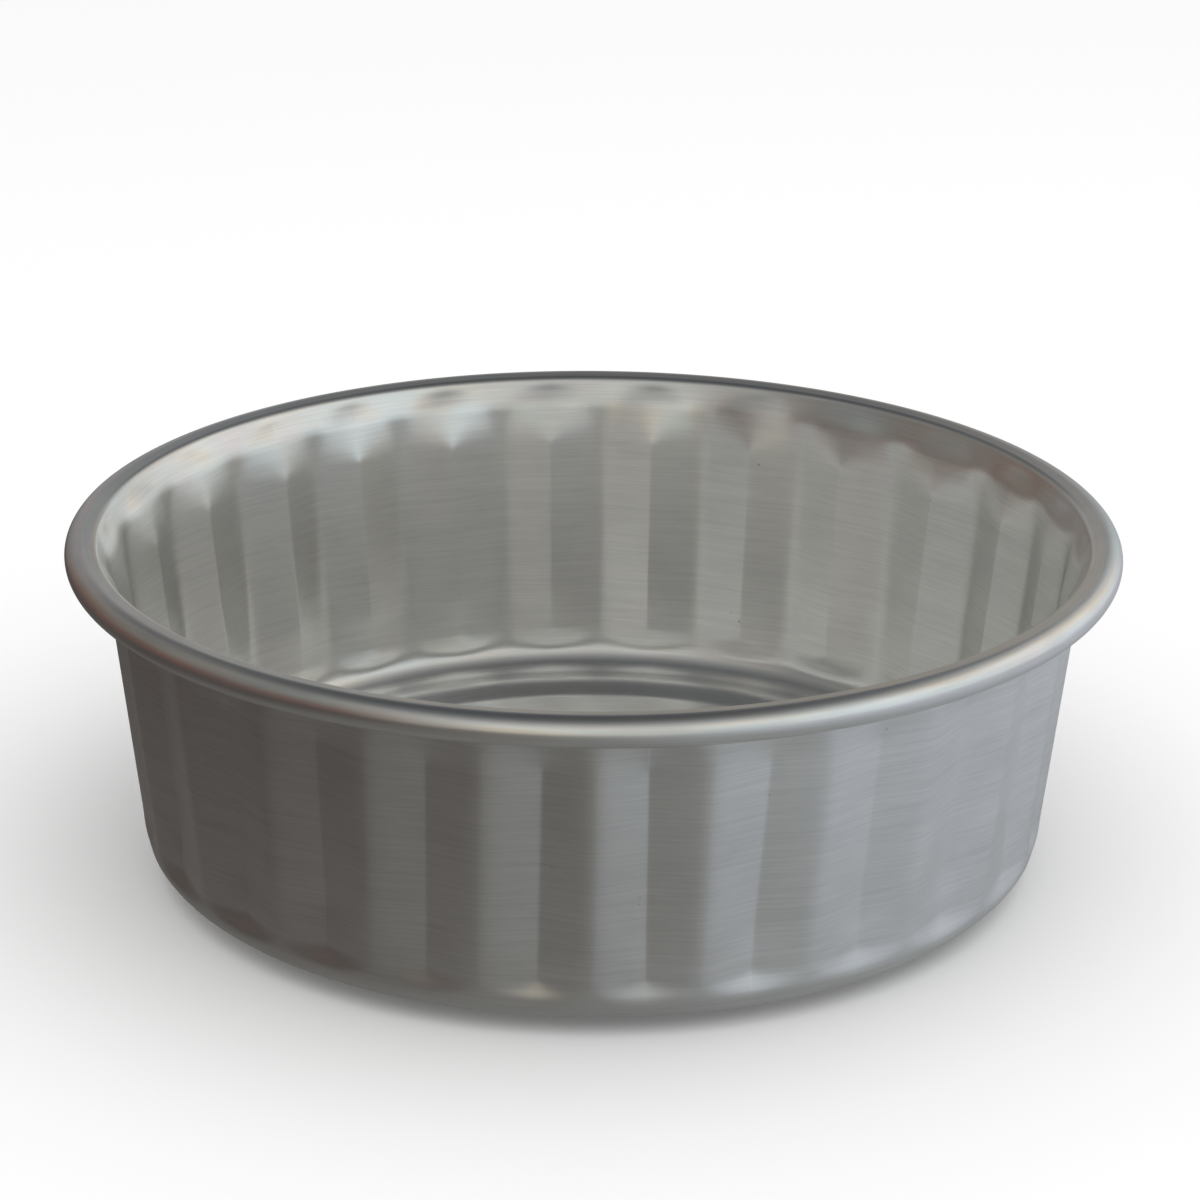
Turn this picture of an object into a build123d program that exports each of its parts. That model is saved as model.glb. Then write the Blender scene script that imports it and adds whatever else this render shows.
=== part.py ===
# Round fluted cake tin, drawn from one round blank of aluminium sheet, its edge rolled over a steel wire.
#
# The tin stands on z = 0 with its axis on Z. The origin is the middle of its underside.
# All sizes are in millimetres, and angles are in degrees.

import os
from math import acos, atan2, cos, degrees, radians, sin, tan

from build123d import *

os.makedirs("parts", exist_ok=True)

# Overall size, over the rolled rim, and the thickness of the sheet
rim_diameter = 240.0
tin_height = 79.0
sheet = 1.0

# Floor: a middle disc that the tin stands on, a short slope, and a narrow raised ring round it
step_rise = 2.6
step_width = 5.0
step_bend = 5.0
ring_width = 3.1

# Wall: it leans outwards, and its outer face is the overhang inside the rim's outermost line
wall_lean = 6.4
rim_overhang = 7.8
corner_bend = 8.5

# Flutes: sharp creases pressed inwards, a narrow strip of the drawn wall left between two of them
flute_count = 26
crease_depth = 2.6
crest_width = 3.0
crease_foot = 11.0
foot_fade = 5.0
top_fade = 8.2
first_crease_angle = -0.5

# Rim: the wall flares out, turns sharply into a narrow brim that falls inwards, and is rolled over a wire
bead_radius = 3.5
brim_fall = 8.0
brow_bend = 0.8
flare_angle = 22.0
flare_bend = 10.0
flare_clearance = 0.9
curl_gap = 0.6
wire_clearance = 0.05

# How far cutting shapes reach past what they cut
overrun = 2.0
fade_reach_share = 1.1
facet_reach_share = 2.0

# Wall and floor, worked out from the sizes above
lean_rate = tan(radians(wall_lean))
axis_wall_radius = rim_diameter / 2 - rim_overhang - tin_height * lean_rate
base_radius = axis_wall_radius + step_rise * lean_rate
corner_run = corner_bend * tan(radians(90 - wall_lean) / 2)
step_run = step_bend * tan(atan2(step_rise, step_width) / 2)
step_radius = base_radius - corner_run - ring_width - step_run

# Rolled rim, worked out from the sizes above: angles go round its middle, anticlockwise from outwards
bead_centre = (rim_diameter / 2 - bead_radius, tin_height - bead_radius)
roll_radius = bead_radius - sheet
flare_reach = roll_radius + flare_clearance
brim_angle = 90 + brim_fall
flare_normal = 180 - flare_angle
curl_turn = brim_angle + 360 - flare_normal - degrees(acos((flare_reach - curl_gap) / bead_radius))


def wall_radius(height):
    """Radius of the wall's outer face at a height above the plane that the tin stands on."""
    return axis_wall_radius + height * lean_rate


def bead_point(radius, angle):
    """Point of the section plane on a circle round the middle of the rolled rim."""
    turn = radians(angle)
    return (bead_centre[0] + radius * cos(turn), bead_centre[1] + radius * sin(turn))


# The brim runs straight into the roll. The flare meets it at the brow and leaves the wall at its foot.
brim_under = bead_point(roll_radius, brim_angle)
brim_over = bead_point(bead_radius, brim_angle)
brow_turn = sin(radians(brim_angle - flare_normal))
brow_in = flare_reach * sin(radians(brim_angle)) - roll_radius * sin(radians(flare_normal))
brow_up = roll_radius * cos(radians(flare_normal)) - flare_reach * cos(radians(brim_angle))
brow = (bead_centre[0] + brow_in / brow_turn, bead_centre[1] + brow_up / brow_turn)
flare_slant = tan(radians(flare_angle))
flare_foot = (brow[0] - axis_wall_radius - brow[1] * flare_slant) / (lean_rate - flare_slant)
flare_start = flare_foot - flare_bend * tan(radians(flare_angle - wall_lean) / 2) * cos(radians(wall_lean))


def crease_tool(inset):
    """Long wedge that presses one crease at angle zero, its two ends fading out through the wall."""
    foot = step_rise + crease_foot
    top = flare_start - top_fade
    clear = crease_depth * fade_reach_share
    with BuildPart() as tool:
        for height, lift in (
            (foot - foot_fade * fade_reach_share, clear),
            (foot, 0),
            (top, 0),
            (top + top_fade * fade_reach_share, clear),
        ):
            outer = wall_radius(height)
            half_angle = radians(180 / flute_count) - crest_width / 2 / outer
            facet_run = outer * sin(half_angle)
            facet_rise = outer * cos(half_angle) - (outer - crease_depth)
            ridge = outer - crease_depth + lift - inset
            far_x = ridge + facet_rise * facet_reach_share
            far_y = facet_run * facet_reach_share
            with BuildSketch(Plane.XY.offset(height)):
                with BuildLine():
                    Polyline((ridge, 0), (far_x, -far_y), (far_x, far_y), close=True)
                make_face()
        loft(ruled=True)
    return tool.part


def pressed_form(inset):
    """The drawn and pressed cup as a filled form, with every face moved in by the inset."""
    lid_height = brim_over[1] + (overrun if inset else 0)
    with BuildPart() as form:
        with BuildSketch(Plane.XZ):
            with BuildLine() as outline:
                FilletPolyline(
                    (0, 0),
                    (step_radius - step_width, 0),
                    (step_radius, step_rise),
                    (base_radius, step_rise),
                    (wall_radius(flare_foot), flare_foot),
                    brow,
                    brim_under,
                    radius=[step_bend, step_bend, corner_bend, flare_bend, brow_bend],
                )
                if inset:
                    offset(amount=inset, side=Side.LEFT, closed=False, mode=Mode.REPLACE)
                middle = outline.vertices().sort_by(Axis.X)[0]
                brim = outline.vertices().sort_by(Axis.X)[-1]
                Polyline(brim, (brim_over[0], lid_height), (0, lid_height), middle)
            make_face()
        revolve(axis=Axis.Z)
        tool = crease_tool(inset)
        with PolarLocations(0, flute_count, start_angle=first_crease_angle):
            add(tool, mode=Mode.SUBTRACT)
    return form.part


outside = pressed_form(0)
inside = pressed_form(sheet)

# One drawn sheet: floor, fluted wall, flare, and the curl that is rolled over the wire
with BuildPart() as fluted_shell:
    add(outside)
    add(inside, mode=Mode.SUBTRACT)
    with BuildSketch(Plane.XZ):
        with BuildLine():
            CenterArc(bead_centre, bead_radius, brim_angle, -curl_turn)
            offset(amount=sheet, side=Side.RIGHT, closed=True)
        make_face()
    revolve(axis=Axis.Z)
fluted_shell.part.label = "fluted_shell"
export_step(fluted_shell.part, "parts/fluted_shell.step")

# Steel wire inside the rolled rim
with BuildPart() as rim_wire:
    with BuildSketch(Plane.XZ):
        with Locations(bead_centre):
            Circle(roll_radius - wire_clearance)
    revolve(axis=Axis.Z)
rim_wire.part.label = "rim_wire"
export_step(rim_wire.part, "parts/rim_wire.step")
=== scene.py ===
# Round fluted cake tin: one drawn aluminium sheet with its edge rolled over a steel wire.
#
# Metres throughout. The tin stands on z = 0 with its axis on Z, and -Y is the side towards the camera.

from math import acos, asin, atan2, cos, degrees, pi, radians, sin, tan

import bpy
import numpy as np
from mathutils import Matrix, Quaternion, Vector


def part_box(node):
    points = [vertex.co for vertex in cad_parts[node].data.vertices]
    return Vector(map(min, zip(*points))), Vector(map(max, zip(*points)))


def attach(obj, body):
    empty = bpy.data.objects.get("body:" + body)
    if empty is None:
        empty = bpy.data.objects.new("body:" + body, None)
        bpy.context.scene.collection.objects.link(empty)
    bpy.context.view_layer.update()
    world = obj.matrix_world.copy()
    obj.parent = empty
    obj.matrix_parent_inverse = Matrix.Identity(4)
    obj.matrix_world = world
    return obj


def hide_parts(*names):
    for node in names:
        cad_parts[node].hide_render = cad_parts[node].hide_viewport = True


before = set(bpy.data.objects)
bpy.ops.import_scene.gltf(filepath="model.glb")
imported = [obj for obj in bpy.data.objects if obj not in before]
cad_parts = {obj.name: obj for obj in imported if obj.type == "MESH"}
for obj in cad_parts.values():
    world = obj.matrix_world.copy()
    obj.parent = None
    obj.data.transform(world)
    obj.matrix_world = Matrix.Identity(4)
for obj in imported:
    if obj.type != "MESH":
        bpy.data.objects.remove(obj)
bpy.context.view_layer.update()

# Drawn sheet
# One round blank of bare aluminium, 1 mm thick, is drawn to a cup with a stepped floor. Sharp creases are
# then pressed inwards all round the wall, and the edge is flared out and rolled over the wire.
shell_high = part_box("fluted_shell")[1]
rim_radius = shell_high.x
tin_height = shell_high.z
sheet = 0.001

step_rise = 0.0026
step_width = 0.005
step_bend = 0.005
ring_width = 0.0031
wall_lean = radians(6.4)
rim_overhang = 0.0078
corner_bend = 0.0085
bead_radius = 0.0035
brim_fall = radians(8.0)
brow_bend = 0.0008
flare_angle = radians(22.0)
flare_bend = 0.010
flare_clearance = 0.0009
curl_gap = 0.0006

lean_rate = tan(wall_lean)
axis_wall_radius = rim_radius - rim_overhang - tin_height * lean_rate
base_radius = axis_wall_radius + step_rise * lean_rate
corner_run = corner_bend * tan((pi / 2 - wall_lean) / 2)
step_run = step_bend * tan(atan2(step_rise, step_width) / 2)
step_radius = base_radius - corner_run - ring_width - step_run
bead_centre = np.array((rim_radius - bead_radius, tin_height - bead_radius))
roll_radius = bead_radius - sheet
flare_reach = roll_radius + flare_clearance
brim_angle = pi / 2 + brim_fall
flare_normal = pi - flare_angle
curl_turn = brim_angle + 2 * pi - flare_normal - acos((flare_reach - curl_gap) / bead_radius)


def bead_point(radius, turn):
    """Point of the section on a circle round the middle of the rolled rim."""
    return bead_centre + radius * np.array((cos(turn), sin(turn)))


brow_in = flare_reach * sin(brim_angle) - roll_radius * sin(flare_normal)
brow_up = roll_radius * cos(flare_normal) - flare_reach * cos(brim_angle)
brow = bead_centre + np.array((brow_in, brow_up)) / sin(brim_angle - flare_normal)
flare_slant = tan(flare_angle)
flare_foot = (brow[0] - axis_wall_radius - brow[1] * flare_slant) / (lean_rate - flare_slant)
flare_start = flare_foot - flare_bend * tan((flare_angle - wall_lean) / 2) * cos(wall_lean)

# Creases: how deep, where each one begins and ends along the wall, and how far its ends fan out
crease_count = 26
crease_depth = 0.0026
crease_foot = step_rise + 0.0110
crease_top = flare_start - 0.0082
foot_fan = 0.0058
foot_ease = 0.012
foot_share = 0.72
top_fan = 0.0150
crest_width = 0.0026
rim_ease = 0.003
crease_softness = 0.00025
crest_softness = 0.00022
first_crease = radians(-0.5)
end_stretch = 0.006
strike_spread_share = 0.07

# The press wandered: where a crease should be, and how far round it is at its foot and at its top, in degrees
press_wander = (
    (-180, 0.5, 0.5),
    (-153, 1.5, 2.0),
    (-139, 2.8, 3.4),
    (-111, 1.7, 2.9),
    (-97, 1.2, 2.0),
    (-84, 0.0, -0.3),
    (-70, -1.2, -0.4),
    (-42, -0.6, -0.6),
    (-28, 0.7, 0.2),
    (0, -1.0, -1.0),
    (27, -3.4, -3.6),
    (41, -2.3, -2.3),
    (55, -0.5, -0.4),
    (124, -0.4, -0.4),
    (138, -2.0, -2.1),
    (152, -0.7, -0.7),
    (180, 0.5, 0.5),
)


def section_rows(corners, bends, steps):
    """Underside of the sheet from the axis outwards, as rows of r, z and the normal towards the cake."""
    rows = []
    here = corners[0]
    for index, corner in enumerate(corners[1:]):
        into = (corner - corners[index]) / np.linalg.norm(corner - corners[index])
        last = index == len(corners) - 2
        away = into if last else (corners[index + 2] - corner) / np.linalg.norm(corners[index + 2] - corner)
        turn = atan2(into[0] * away[1] - into[1] * away[0], float(into @ away))
        cut = 0 if last else bends[index] * tan(abs(turn) / 2)
        stop = corner - into * cut
        count = max(1, round(float(np.linalg.norm(stop - here)) / steps[index]))
        for share in np.arange(count) / count:
            rows.append((*(here + (stop - here) * share), -into[1], into[0]))
        if cut:
            side = 1 if turn > 0 else -1
            centre = stop + side * bends[index] * np.array((-into[1], into[0]))
            arc_count = max(4, round(abs(turn) / radians(6)))
            for share in np.arange(arc_count) / arc_count:
                normal = atan2(into[0], -into[1]) + turn * share
                facing = np.array((cos(normal), sin(normal)))
                rows.append((*(centre - side * bends[index] * facing), *facing))
        here = corner + away * cut
    return rows


def wall_point(height):
    """Point of the section on the outer face of the wall."""
    return np.array((axis_wall_radius + height * lean_rate, height))


rows = section_rows(
    [
        np.array((0.0, 0.0)),
        np.array((step_radius - step_width, 0.0)),
        np.array((step_radius, step_rise)),
        np.array((base_radius, step_rise)),
        wall_point(crease_foot + end_stretch),
        wall_point(crease_top - end_stretch),
        wall_point(flare_foot),
        brow,
        bead_point(roll_radius, brim_angle),
    ],
    [step_bend, step_bend, corner_bend, 0, 0, flare_bend, brow_bend],
    [0.015, 0.001, 0.001, 0.0008, 0.0025, 0.0008, 0.0006, 0.0003],
)
curl_count = 44
for share in np.arange(curl_count + 1) / curl_count:
    turn = brim_angle - curl_turn * share
    rows.append((*bead_point(roll_radius, turn), cos(turn), sin(turn)))
rows = np.array(rows)[1:]
run = np.concatenate(([0.0], np.cumsum(np.hypot(*np.diff(rows[:, :2], axis=0).T)))) + rows[0, 0]
outwards = np.arange(len(rows)) < len(rows) - curl_count
foot_run = np.interp(crease_foot, rows[outwards, 1], run[outwards])
top_run = np.interp(crease_top, rows[outwards, 1], run[outwards])
brim_run = np.interp(brow[1], rows[outwards, 1], run[outwards])

# Where each crease lies round the tin, at every row of the section
wander_at, wander_foot, wander_top = np.array(press_wander).T
even = degrees(first_crease) + 360 / crease_count * np.arange(crease_count)
wrapped = (even + 180) % 360 - 180
climb = np.clip((run - foot_run) / (top_run - foot_run), 0, 1)[:, None]
at_foot = even + np.interp(wrapped, wander_at, wander_foot)
at_top = even + np.interp(wrapped, wander_at, wander_top)
creases = np.radians(at_foot + (at_top - at_foot) * climb)
creases = np.hstack((creases, creases[:, :1] + 2 * pi))

# The press did not strike every crease equally hard
unevenness = np.random.default_rng(26).standard_normal(crease_count)
strikes = crease_depth * (1 + strike_spread_share * unevenness)
strikes = np.append(strikes, strikes[0])
wall_at_row = axis_wall_radius + lean_rate * np.clip(rows[:, 1], crease_foot, flare_start)
wall_at_row = np.where(outwards, wall_at_row, wall_at_row.max())
past_end = np.maximum((foot_run - run) / foot_fan, (run - top_run) / top_fan).clip(0)
eased = np.clip((run - foot_run) / foot_ease, 0, 1)
eased = foot_share + (1 - foot_share) * eased * eased * (3 - 2 * eased)


def pressed_in(offset, half_gap, depth):
    """How far in the sheet lies at an angle from a crease: two flat facets whose ends fan out to nothing."""
    facet = half_gap - crest_width / 2 / wall_at_row
    reach = wall_at_row * np.sin(facet)
    rise = wall_at_row * np.cos(facet) - (wall_at_row - depth)
    beside = np.hypot(offset, crease_softness / wall_at_row) / facet
    turned = facet * np.hypot(beside, past_end).clip(0, 3)
    inward = wall_at_row - reach * (wall_at_row - depth) / (reach * np.cos(turned) - rise * np.sin(turned))
    return (inward + np.hypot(inward, 2 * crest_softness)) / 2


# Columns of the mesh crowd together at the creases and at the crests between them
column_shares = (0.0, 0.02, 0.05, 0.1, 0.18, 0.3, 0.45, 0.6, 0.72, 0.81, 0.88, 0.94)
angles = []
depths = []
for crease in range(crease_count):
    left = creases[:, crease]
    right = creases[:, crease + 1]
    half_gap = (right - left) / 2
    for share in column_shares:
        angles.append(left + share * half_gap)
        depths.append(pressed_in(share * half_gap, half_gap, strikes[crease] * eased))
    for share in (1.0, *column_shares[:0:-1]):
        angles.append(right - share * half_gap)
        depths.append(pressed_in(share * half_gap, half_gap, strikes[crease + 1] * eased))
angles = np.array(angles).T

# The brim and the roll stay round: the last trace of the creases is gone where the brim begins
unpressed = np.clip((brim_run - run) / rim_ease, 0, 1)
depths = np.array(depths).T * (unpressed * unpressed * (3 - 2 * unpressed))[:, None]


def sheet_side(thickness):
    """One face of the sheet: the section turned round the axis, with the creases pressed into it."""
    lift = depths + thickness
    radius = rows[:, :1] + rows[:, 2:3] * lift
    height = rows[:, 1:2] + rows[:, 3:4] * lift
    return np.stack((radius * np.cos(angles), radius * np.sin(angles), height), axis=-1)


# The two faces meet at the curled edge, and each one closes on the axis
around = angles.shape[1]
skin = np.concatenate((sheet_side(sheet), sheet_side(0.0)[::-1]))
skin_run = np.concatenate((run, 2 * run[-1] - run[::-1]))
ring_count = len(skin)
points = np.vstack((skin.reshape(-1, 3), ((0.0, 0.0, sheet), (0.0, 0.0, 0.0))))
cake_middle = len(points) - 2
under_middle = len(points) - 1
column = np.arange(around)
next_column = (column + 1) % around
quads = []
for ring in range(ring_count - 1):
    near = ring * around
    far = near + around
    quads.append(np.stack((near + next_column, near + column, far + column, far + next_column), axis=-1))
last_ring = (ring_count - 1) * around
faces = np.concatenate(quads).tolist()
faces += [(cake_middle, int(a), int(b)) for a, b in zip(column, next_column)]
faces += [(under_middle, last_ring + int(b), last_ring + int(a)) for a, b in zip(column, next_column)]
shell_mesh = bpy.data.meshes.new("drawn_sheet")
shell_mesh.from_pydata(points.tolist(), [], faces)

# The unrolled sheet, for marks that run along it: metres round the tin, and metres along its section
unrolled = shell_mesh.uv_layers.new(name="unrolled")
turned_to = np.append(angles[0], angles[0][0] + 2 * pi) * rim_radius
corner_vertex = np.zeros(len(shell_mesh.loops), dtype=np.int32)
shell_mesh.loops.foreach_get("vertex_index", corner_vertex)
corner_column = corner_vertex % around
corner_ring = np.minimum(corner_vertex // around, ring_count - 1)
closing = np.zeros(len(corner_vertex), dtype=bool)
closing[: 4 * (ring_count - 1) * around] = np.tile(np.repeat(column == around - 1, 4), ring_count - 1)
corner_u = turned_to[np.where(closing & (corner_column == 0), around, corner_column)]
corner_v = np.where(corner_vertex == cake_middle, 0.0, skin_run[corner_ring])
corner_v = np.where(corner_vertex == under_middle, 2 * run[-1], corner_v)
unrolled.data.foreach_set("uv", np.stack((corner_u, corner_v), axis=-1).astype(np.float32).ravel())

# How near each point is to the line of a crease, where the press strained the metal and small pits show
struck = shell_mesh.attributes.new("struck", "FLOAT", "POINT")
struck_share = np.clip(depths / crease_depth, 0, 1) ** 3
struck_values = np.concatenate((struck_share.ravel(), struck_share[::-1].ravel(), (0.0, 0.0)))
struck.data.foreach_set("value", struck_values.astype(np.float32))

shell_mesh.shade_smooth()
shell_mesh.set_sharp_from_angle(angle=radians(50))
shell = bpy.data.objects.new("fluted_sheet", shell_mesh)
bpy.context.scene.collection.objects.link(shell)
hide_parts("fluted_shell")
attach(shell, "root")


def put(tree, kind, sockets, **settings):
    """A shader node with its settings, each of the named sockets either linked or set."""
    made = tree.nodes.new("ShaderNode" + kind)
    for name, value in settings.items():
        setattr(made, name, value)
    for name, value in sockets.items():
        if isinstance(value, bpy.types.NodeSocket):
            tree.links.new(value, made.inputs[name])
        else:
            made.inputs[name].default_value = value
    return made


def weighed(tree, terms, start=0.0):
    """The sum of several sockets, each times its own weight."""
    result = start
    for socket, weight in terms:
        result = put(tree, "Math", {0: socket, 1: weight, 2: result}, operation="MULTIPLY_ADD").outputs[0]
    return result


def new_group(name, inputs, output):
    """An empty node group with float and vector inputs and one float output."""
    group = bpy.data.node_groups.new(name, "ShaderNodeTree")
    for socket_name, kind in inputs:
        group.interface.new_socket(socket_name, in_out="INPUT", socket_type="NodeSocket" + kind)
    group.interface.new_socket(output, in_out="OUTPUT", socket_type="NodeSocketFloat")
    return group, group.nodes.new("NodeGroupInput").outputs, group.nodes.new("NodeGroupOutput").inputs


# Lines that tools leave on a turned or drawn piece: long round the axis and thin across
line_group, given, result = new_group(
    "tool_lines",
    [("Point", "Vector"), ("Across", "Float"), ("Width", "Float"), ("Length", "Float")],
    "Height",
)
parts = put(line_group, "SeparateXYZ", {0: given["Point"]}).outputs
along_x = put(line_group, "Math", {0: parts[0], 1: given["Length"]}, operation="DIVIDE")
along_y = put(line_group, "Math", {0: parts[1], 1: given["Length"]}, operation="DIVIDE")
across = put(line_group, "Math", {0: given["Across"], 1: given["Width"]}, operation="DIVIDE")
place = put(line_group, "CombineXYZ", {0: along_x.outputs[0], 1: along_y.outputs[0], 2: across.outputs[0]})
lines = put(
    line_group, "TexNoise", {"Vector": place.outputs[0], "Scale": 1.0, "Detail": 2.0, "Roughness": 0.6}
)
sharpened = put(line_group, "MapRange", {"Value": lines.outputs[0], "From Min": 0.32, "From Max": 0.68})
line_group.links.new(sharpened.outputs[0], result["Height"])

# Dull and bright patches that oxide and handling leave
patch_group, given, result = new_group(
    "patches",
    [("Point", "Vector"), ("Size", "Float"), ("Low", "Float"), ("High", "Float")],
    "Mask",
)
per_metre = put(patch_group, "Math", {0: 1.0, 1: given["Size"]}, operation="DIVIDE")
cloud = put(
    patch_group,
    "TexNoise",
    {"Vector": given["Point"], "Scale": per_metre.outputs[0], "Detail": 4.0, "Roughness": 0.55},
)
cloud_mask = put(
    patch_group,
    "MapRange",
    {"Value": cloud.outputs[0], "From Min": given["Low"], "From Max": given["High"]},
    interpolation_type="SMOOTHSTEP",
)
patch_group.links.new(cloud_mask.outputs[0], result["Mask"])

# Long hairline scratches, all at about one slant. The stretch is how closely they lie along and across it.
hair_stretch = (14.0, 3600.0, 1.0)
hair_edge = 0.06
scratch_group, given, result = new_group(
    "scratches",
    [("Unrolled", "Vector"), ("Slant", "Float"), ("Rarity", "Float")],
    "Mask",
)
slanted = put(
    scratch_group,
    "VectorRotate",
    {"Vector": given["Unrolled"], "Angle": given["Slant"]},
    rotation_type="Z_AXIS",
)
stretched = put(
    scratch_group, "VectorMath", {0: slanted.outputs[0], 1: hair_stretch}, operation="MULTIPLY"
)
hair = put(scratch_group, "TexNoise", {"Vector": stretched.outputs[0], "Scale": 1.0, "Detail": 0.0})
full = put(scratch_group, "Math", {0: given["Rarity"], 1: hair_edge}, operation="ADD")
hair_mask = put(
    scratch_group,
    "MapRange",
    {"Value": hair.outputs[0], "From Min": given["Rarity"], "From Max": full.outputs[0]},
)
scratch_group.links.new(hair_mask.outputs[0], result["Mask"])


def place_group(tree, group, sockets):
    """The one output of a node group placed in a material, with its inputs linked or set."""
    made = tree.nodes.new("ShaderNodeGroup")
    made.node_tree = group
    for name, value in sockets.items():
        if isinstance(value, bpy.types.NodeSocket):
            tree.links.new(value, made.inputs[name])
        else:
            made.inputs[name].default_value = value
    return made.outputs[0]


def new_material(name):
    """A node material with nothing in it but its output, and that output's surface socket."""
    material = bpy.data.materials.new(name)
    material.use_nodes = True
    material.node_tree.nodes.clear()
    return material, material.node_tree, put(material.node_tree, "OutputMaterial", {}).inputs["Surface"]


# Bare aluminium: satin, brushed round the axis, a little oxide, hairlines, and small dark pits at the creases
aluminium, tree, surface = new_material("brushed_aluminium")
point = put(tree, "TexCoord", {}).outputs["Object"]
flat_map = put(tree, "UVMap", {}, uv_map="unrolled").outputs[0]
along_section = put(tree, "SeparateXYZ", {0: flat_map}).outputs[1]
struck_here = put(tree, "Attribute", {}, attribute_name="struck").outputs["Fac"]
fine = place_group(
    tree, line_group, {"Point": point, "Across": along_section, "Width": 0.0005, "Length": 0.018}
)
broad = place_group(
    tree, line_group, {"Point": point, "Across": along_section, "Width": 0.004, "Length": 0.16}
)
oxide = place_group(tree, patch_group, {"Point": point, "Size": 0.045, "Low": 0.35, "High": 0.7})
mottle = place_group(tree, patch_group, {"Point": point, "Size": 0.011, "Low": 0.35, "High": 0.75})
hairs_up = place_group(tree, scratch_group, {"Unrolled": flat_map, "Slant": radians(24), "Rarity": 0.78})
hairs_down = place_group(tree, scratch_group, {"Unrolled": flat_map, "Slant": radians(-12), "Rarity": 0.79})
hairs = put(tree, "Math", {0: hairs_up, 1: hairs_down}, operation="MAXIMUM").outputs[0]
pit_cells = put(tree, "TexVoronoi", {"Vector": point, "Scale": 330.0, "Randomness": 1.0})
pit_spot = put(
    tree, "MapRange", {"Value": pit_cells.outputs["Distance"], "From Min": 0.16, "From Max": 0.05}
).outputs[0]
pit_where = place_group(tree, patch_group, {"Point": point, "Size": 0.009, "Low": 0.6, "High": 0.66})
pit_line = put(tree, "MapRange", {"Value": struck_here, "From Min": 0.3, "From Max": 0.7}).outputs[0]
pits = put(tree, "Math", {0: pit_spot, 1: pit_where}, operation="MULTIPLY").outputs[0]
pits = put(tree, "Math", {0: pits, 1: pit_line}, operation="MULTIPLY").outputs[0]


def blend_colours(tree, share, first, second):
    """From the first colour to the second, as the share goes from 0 to 1."""
    return put(tree, "Mix", {0: share, 6: first, 7: second}, data_type="RGBA").outputs[2]


shade = weighed(tree, [(fine, 0.45), (oxide, 0.22), (mottle, 0.15), (broad, 0.18), (hairs, -0.15)])
metal = blend_colours(tree, shade, (1.0, 0.998, 0.985, 1.0), (0.8, 0.805, 0.795, 1.0))
metal = blend_colours(tree, pits, metal, (0.12, 0.115, 0.11, 1.0))
satin = weighed(tree, [(fine, 0.01), (oxide, 0.02), (hairs, 0.03), (pits, 0.3)], start=0.28)
relief = weighed(tree, [(broad, 0.000001), (pits, -0.00002)])
bump = put(tree, "Bump", {"Strength": 1.0, "Distance": 1.0, "Height": relief})
around_axis = put(tree, "Tangent", {}, direction_type="RADIAL", axis="Z")
skin_shader = put(
    tree,
    "BsdfPrincipled",
    {
        "Base Color": metal,
        "Metallic": 1.0,
        "Roughness": satin,
        "Anisotropic": 0.5,
        "Anisotropic Rotation": 0.25,
        "Normal": bump.outputs[0],
        "Tangent": around_axis.outputs[0],
    },
)
tree.links.new(skin_shader.outputs[0], surface)
shell_mesh.materials.append(aluminium)

# Rim wire
# A closed ring of drawn steel wire that the sheet's edge is rolled over. It is seen only through the narrow
# gap under the rim. Its solid from the frame stays as it is, with a dull grey finish and a trace of rust.
steel, tree, surface = new_material("wire_steel")
point = put(tree, "TexCoord", {}).outputs["Object"]
parts = put(tree, "SeparateXYZ", {0: point}).outputs
drawn = place_group(tree, line_group, {"Point": point, "Across": parts[2], "Width": 0.0004, "Length": 0.06})
rust = place_group(tree, patch_group, {"Point": point, "Size": 0.006, "Low": 0.55, "High": 0.75})
wire_shade = weighed(tree, [(drawn, 0.6), (rust, 0.4)])
wire_colour = blend_colours(tree, wire_shade, (0.47, 0.47, 0.48, 1.0), (0.27, 0.24, 0.22, 1.0))
wire_satin = weighed(tree, [(drawn, 0.15), (rust, 0.3)], start=0.25)
wire_relief = weighed(tree, [(drawn, 0.000006), (rust, 0.00001)])
wire_bump = put(tree, "Bump", {"Strength": 1.0, "Distance": 1.0, "Height": wire_relief})
wire_shader = put(
    tree,
    "BsdfPrincipled",
    {"Base Color": wire_colour, "Metallic": 1.0, "Roughness": wire_satin, "Normal": wire_bump.outputs[0]},
)
tree.links.new(wire_shader.outputs[0], surface)
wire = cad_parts["rim_wire"]
wire.data.materials.clear()
wire.data.materials.append(steel)

# Floor
# A wide, pale and level surface that the tin stands on. It takes the tin's soft shadow and doesn't show in
# the metal. It lies just below the tin's underside, so that their faces don't coincide.
floor_half = 6.0
floor_drop = 0.0002
floor_material, tree, surface = new_material("pale_floor")
paper = put(tree, "BsdfDiffuse", {"Color": (0.97, 0.97, 0.97, 1.0)})
tree.links.new(paper.outputs[0], surface)


def stage_piece(name, corners, faces, material):
    """A plain mesh that belongs to the studio and not to the tin."""
    mesh = bpy.data.meshes.new(name)
    mesh.from_pydata(corners, [], faces)
    mesh.materials.append(material)
    piece = bpy.data.objects.new(name, mesh)
    bpy.context.scene.collection.objects.link(piece)
    return piece


def square(half, height):
    """Corners of a level square round the axis."""
    return [(-half, -half, height), (half, -half, height), (half, half, height), (-half, half, height)]


studio_floor = stage_piece("studio_floor", square(floor_half, -floor_drop), [(0, 1, 2, 3)], floor_material)
studio_floor.visible_glossy = False

# Reflected surroundings
# A table top and a tent, both seen only in reflections, glow with graded, faintly tinted painted light
# that stands for the room: dark on its left and overhead, bright on its right.


def reflected_only(piece):
    """Lets a studio piece show in reflections and nowhere else."""
    piece.visible_camera = False
    piece.visible_diffuse = False
    piece.visible_transmission = False
    piece.visible_shadow = False


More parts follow.
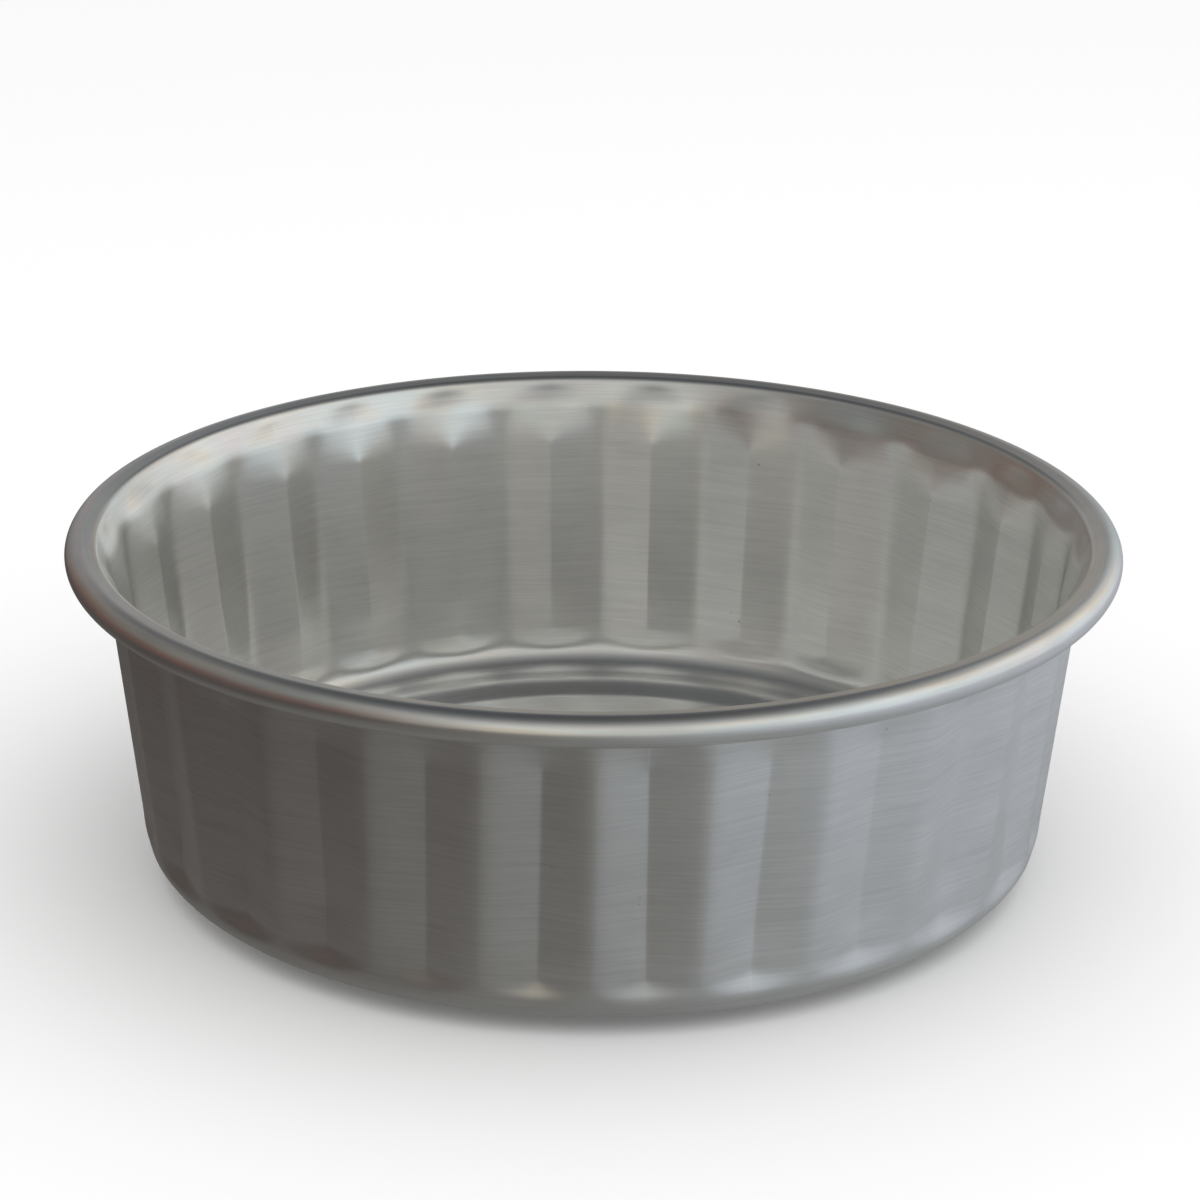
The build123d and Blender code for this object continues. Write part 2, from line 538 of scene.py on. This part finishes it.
def graded(tree, value, stops):
    """A colour that follows a value through (place, colour) stops."""
    ramp = put(tree, "ValToRGB", {"Fac": value})
    elements = ramp.color_ramp.elements
    elements[0].position = stops[0][0]
    elements[0].color = (*stops[0][1], 1.0)
    elements[1].position = stops[-1][0]
    elements[1].color = (*stops[-1][1], 1.0)
    for position, shade in stops[1:-1]:
        elements.new(position).color = (*shade, 1.0)
    return ramp.outputs[0]


def spread(tree, value, low, high):
    """A value's place between a low and a high, from 0 to 1."""
    return put(tree, "MapRange", {"Value": value, "From Min": low, "From Max": high}).outputs[0]


table_drop = 0.12
table_half = 3.0
shaded_half = 0.4
# The table glows with painted light: dark and warm on its left, bright and bluish on its right.
table_material, tree, surface = new_material("table_reflection")
parts = put(tree, "SeparateXYZ", {0: put(tree, "TexCoord", {}).outputs["Object"]}).outputs
table_glow = graded(
    tree,
    spread(tree, parts[0], -shaded_half, shaded_half),
    [
        (0.0, (0.075, 0.066, 0.062)),
        (0.3, (0.135, 0.13, 0.122)),
        (0.5, (0.18, 0.18, 0.175)),
        (0.7, (0.28, 0.29, 0.292)),
        (1.0, (0.42, 0.44, 0.48)),
    ],
)
glow = put(tree, "Emission", {"Color": table_glow, "Strength": 1.0})
tree.links.new(glow.outputs[0], surface)
table = stage_piece("reflected_table", square(table_half, -table_drop), [(0, 1, 2, 3)], table_material)
reflected_only(table)

tent_radius = 1.5
# The tent glows with painted room light: bright in front and on the right, dim behind and on the left, dark
# overhead, with faint painted tints of colour.
tent_material, tree, surface = new_material("tent_reflection")
parts = put(tree, "SeparateXYZ", {0: put(tree, "TexCoord", {}).outputs["Object"]}).outputs
height = spread(tree, parts[2], 0.0, tent_radius)
front = graded(
    tree,
    height,
    [
        (0.0, (0.5, 0.495, 0.475)),
        (0.2, (0.6, 0.595, 0.565)),
        (0.45, (0.66, 0.655, 0.63)),
        (0.68, (0.55, 0.55, 0.545)),
        (0.86, (0.29, 0.29, 0.295)),
        (1.0, (0.09, 0.092, 0.1)),
    ],
)
back = graded(
    tree,
    height,
    [
        (0.0, (0.3, 0.3, 0.3)),
        (0.4, (0.32, 0.32, 0.33)),
        (0.54, (0.1, 0.1, 0.11)),
        (1.0, (0.055, 0.058, 0.065)),
    ],
)
left = graded(
    tree,
    height,
    [
        (0.0, (0.14, 0.07, 0.06)),
        (0.2, (0.15, 0.115, 0.105)),
        (0.5, (0.2, 0.185, 0.175)),
        (0.75, (0.2, 0.2, 0.2)),
        (1.0, (0.055, 0.058, 0.065)),
    ],
)
right = graded(
    tree,
    height,
    [
        (0.0, (0.66, 0.69, 0.76)),
        (0.25, (0.78, 0.79, 0.81)),
        (0.6, (0.84, 0.85, 0.86)),
        (0.8, (0.4, 0.41, 0.43)),
        (1.0, (0.055, 0.058, 0.065)),
    ],
)
behind = spread(tree, parts[1], -0.3 * tent_radius, 0.3 * tent_radius)
to_right = spread(tree, parts[0], 0.25 * tent_radius, 0.75 * tent_radius)
to_left = spread(tree, parts[0], -0.25 * tent_radius, -0.75 * tent_radius)
tent_glow = blend_colours(tree, behind, front, back)
tent_glow = blend_colours(tree, to_right, tent_glow, right)
tent_glow = blend_colours(tree, to_left, tent_glow, left)
tint_noise = put(
    tree, "TexNoise", {"Vector": put(tree, "TexCoord", {}).outputs["Object"], "Scale": 1.6, "Detail": 0.0}
)
tints = graded(
    tree,
    tint_noise.outputs[0],
    [
        (0.3, (1.0, 0.9, 0.76)),
        (0.42, (1.0, 0.98, 0.93)),
        (0.52, (0.98, 1.0, 0.98)),
        (0.6, (0.84, 0.98, 0.98)),
        (0.7, (1.0, 0.87, 0.84)),
    ],
)
tent_glow = put(tree, "Mix", {0: 1.0, 6: tent_glow, 7: tints}, data_type="RGBA", blend_type="MULTIPLY").outputs[2]
glow = put(tree, "Emission", {"Color": tent_glow, "Strength": 1.0})
tree.links.new(glow.outputs[0], surface)
tent_sides = 64
tent_rings = 20
tent_tilt = pi / 2 + asin(table_drop / tent_radius)
tent_points = [(0.0, 0.0, tent_radius)]
for ring in range(1, tent_rings + 1):
    tilt = tent_tilt * ring / tent_rings
    for side in range(tent_sides):
        turn = 2 * pi * side / tent_sides
        ring_radius = tent_radius * sin(tilt)
        tent_points.append((ring_radius * cos(turn), ring_radius * sin(turn), tent_radius * cos(tilt)))
tent_faces = [(0, 1 + side, 1 + (side + 1) % tent_sides) for side in range(tent_sides)]
for ring in range(tent_rings - 1):
    for side in range(tent_sides):
        beside = (side + 1) % tent_sides
        near = 1 + ring * tent_sides
        far = near + tent_sides
        tent_faces.append((near + side, far + side, far + beside, near + beside))
tent = stage_piece("reflected_tent", tent_points, tent_faces, tent_material)
reflected_only(tent)

# Studio light
# An even white world fills the shadows on the floor, and one large soft lamp, high over the tin and a little
# to its front and right, shapes them.
# The world is a little brighter where the camera sees it, so that the background stays plain white.
world = bpy.data.worlds.new("studio")
bpy.context.scene.world = world
world.use_nodes = True
tree = world.node_tree
tree.nodes.clear()
seen = put(tree, "LightPath", {}).outputs["Is Camera Ray"]
level = put(tree, "MapRange", {"Value": seen, "To Min": 0.88, "To Max": 1.0}).outputs[0]
sky = put(tree, "Background", {"Color": (1.0, 1.0, 1.0, 1.0), "Strength": level})
tree.links.new(sky.outputs[0], put(tree, "OutputWorld", {}).inputs["Surface"])

lamp_data = bpy.data.lights.new("soft_lamp", "AREA")
lamp_data.shape = "DISK"
lamp_data.size = 2.4
lamp_data.energy = 9.0
lamp = bpy.data.objects.new("soft_lamp", lamp_data)
lamp.location = (0.3, -0.5, 1.6)
lamp.rotation_mode = "QUATERNION"
lamp.rotation_quaternion = (-lamp.location).to_track_quat("-Z", "Y")
lamp.visible_camera = False
lamp.visible_glossy = False
bpy.context.scene.collection.objects.link(lamp)

# Camera
# It looks down on the tin from the front with a long lens, as in the photograph.
camera_place = Vector((0.0, -0.79376, 0.35744))
camera_aim = Vector((0.0015, 0.0, 0.05973))
camera_roll = radians(0.457)
camera_data = bpy.data.cameras.new("camera")
camera_data.sensor_width = 36.0
camera_data.lens = 110.5
camera_data.clip_start = 0.05
camera_data.clip_end = 50.0
camera = bpy.data.objects.new("camera", camera_data)
camera.location = camera_place
camera.rotation_mode = "QUATERNION"
level_view = (camera_aim - camera_place).to_track_quat("-Z", "Y")
camera.rotation_quaternion = level_view @ Quaternion((0.0, 0.0, 1.0), camera_roll)
bpy.context.scene.collection.objects.link(camera)
bpy.context.scene.camera = camera
bpy.context.scene.view_settings.view_transform = "Standard"
